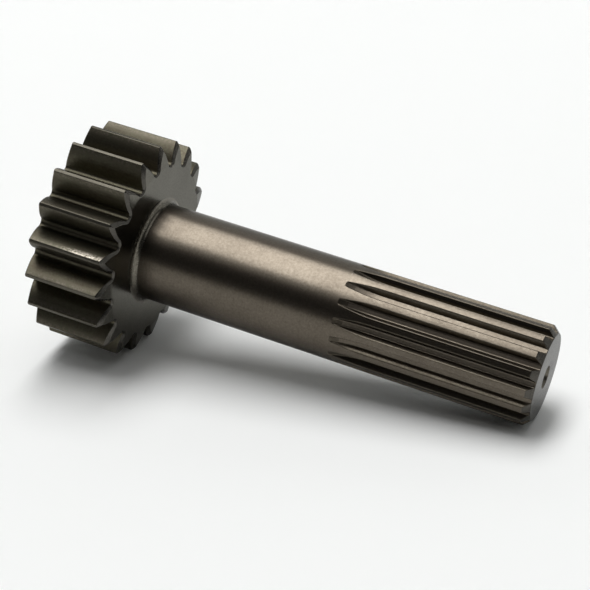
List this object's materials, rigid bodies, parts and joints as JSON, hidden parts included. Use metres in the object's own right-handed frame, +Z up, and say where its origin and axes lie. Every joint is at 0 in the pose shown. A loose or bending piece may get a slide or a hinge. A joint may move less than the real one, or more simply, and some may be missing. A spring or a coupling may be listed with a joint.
{
  "type": "sun gear shaft",
  "caption": "One-piece steel shaft with a spur sun gear at one end and an involute spline with curved run-outs at the other, lying at rest on its teeth.",
  "frame": {"origin": "on the floor that the part lies on, at the middle of its length, straight below the shaft's axis", "axes": "+X runs level from the gear end to the spline end, +Z is up, and the shaft's axis lies in the X-Z plane and leans 8.4 degrees down towards +X"},
  "size_m": [0.155, 0.067, 0.0695],
  "materials": {
    "gear_steel": "dark bronze-grey oiled case-hardened steel, satin"
  },
  "bodies": {
    "root": {"sun_gear_shaft": "gear_steel"}
  },
  "joints": []
}
